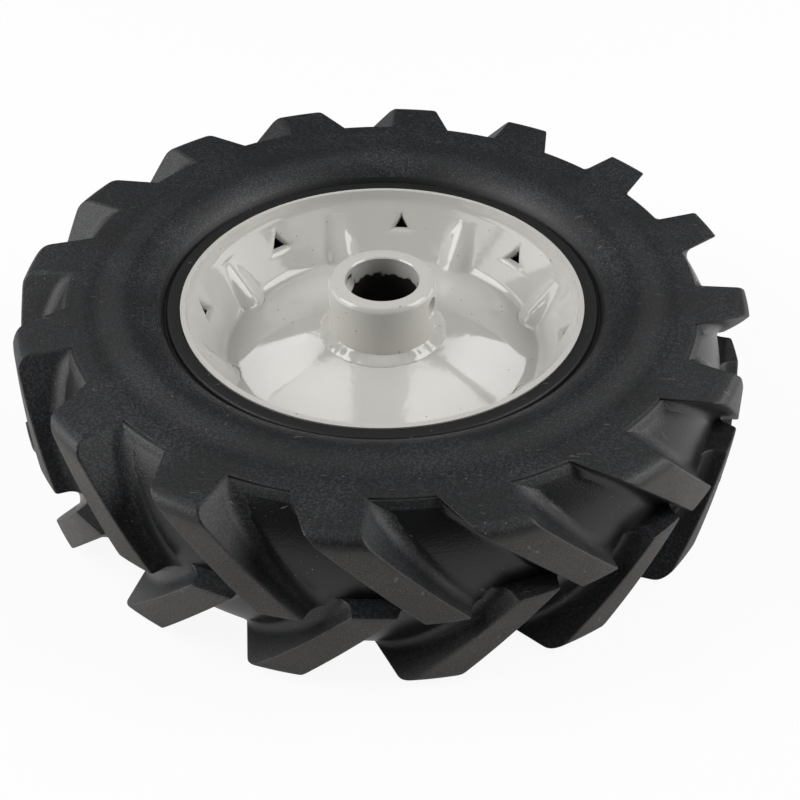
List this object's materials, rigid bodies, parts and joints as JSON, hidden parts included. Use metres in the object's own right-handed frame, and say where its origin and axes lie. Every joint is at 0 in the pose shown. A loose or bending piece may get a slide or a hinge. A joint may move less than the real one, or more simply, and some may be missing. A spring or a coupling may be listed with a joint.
{
  "type": "lugged drive wheel",
  "caption": "Drive wheel of a walk-behind garden machine: a chevron-lug rubber tyre on a pale grey pressed steel rim with a cross-drilled hub tube.",
  "frame": {"origin": "centre of the wheel, on the axle axis halfway through the tyre", "axes": "+Z along the axle axis out of the side with the drive pin hole; the wheel lies flat, +X to the right and +Y away from the viewer as in the picture"},
  "size_m": [0.2568, 0.2568, 0.0652],
  "materials": {
    "tyre_rubber": "matte moulded rubber with fine dust",
    "rim_paint": "glossy light grey enamel on pressed steel",
    "hub_paint": "glossy light grey enamel on steel tube, bare and dark in the bore"
  },
  "bodies": {
    "root": {"tyre": "tyre_rubber", "outer_rim_half": "rim_paint", "inner_rim_half": "rim_paint", "hub": "hub_paint"}
  },
  "joints": []
}
